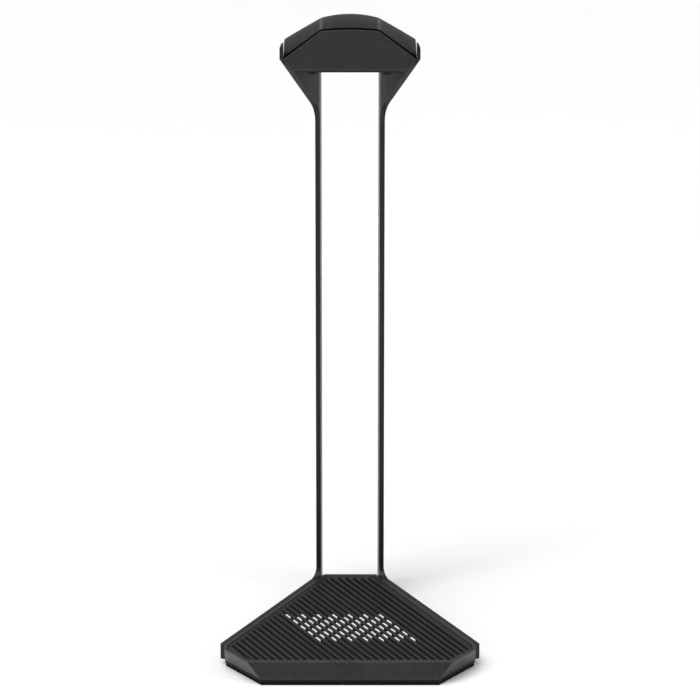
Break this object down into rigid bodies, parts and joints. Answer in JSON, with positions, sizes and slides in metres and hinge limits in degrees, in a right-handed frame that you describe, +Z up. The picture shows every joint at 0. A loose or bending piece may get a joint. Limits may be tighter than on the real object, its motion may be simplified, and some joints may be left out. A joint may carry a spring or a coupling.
{
  "type": "headphone stand",
  "caption": "Desk stand for headphones: wedge base with ribbed top, two bent upright plates and a faceted padded saddle.",
  "frame": {"origin": "on the desk, in the middle of the stand's outline", "axes": "+Z up, front of the base faces -Y, +X to the viewer's right"},
  "size_m": [0.1162, 0.127, 0.2814],
  "materials": {
    "black_metal": "fine textured semi-matt black powder coat",
    "base_black": "semi-matt black",
    "ribbed_rubber": "soft-touch ribbed black",
    "white_inlay": "white",
    "plain_steel": "cold-rolled",
    "black_steel": "black electrocoat",
    "zinc_steel": "zinc plated",
    "insert_brass": "turned",
    "foot_rubber": "matt",
    "core_plastic": "moulded, fine spark texture",
    "cover_plastic": "satin",
    "pad_rubber": "fine leather grain"
  },
  "bodies": {
    "root": {"left_side_plate": "black_metal", "right_side_plate": "black_metal", "base_housing": "base_black", "ribbed_top_plate": "ribbed_rubber", "pattern_inlay": "white_inlay", "ballast_plate": "plain_steel", "floor_plate": "black_steel", "rubber_foot": "foot_rubber", "flange_screws": "zinc_steel", "housing_screws": "zinc_steel", "ballast_screws": "zinc_steel", "deck_screws": "zinc_steel", "threaded_inserts": "insert_brass", "hanger_core": "core_plastic", "hanger_bracket": "plain_steel", "bracket_bolts": "zinc_steel", "bracket_nuts": "zinc_steel", "core_screws": "zinc_steel", "panel_screws": "black_steel", "cover_screws": "zinc_steel", "underside_panel": "core_plastic", "front_cover": "cover_plastic", "rear_cover": "cover_plastic", "saddle_pad": "pad_rubber"}
  },
  "joints": []
}
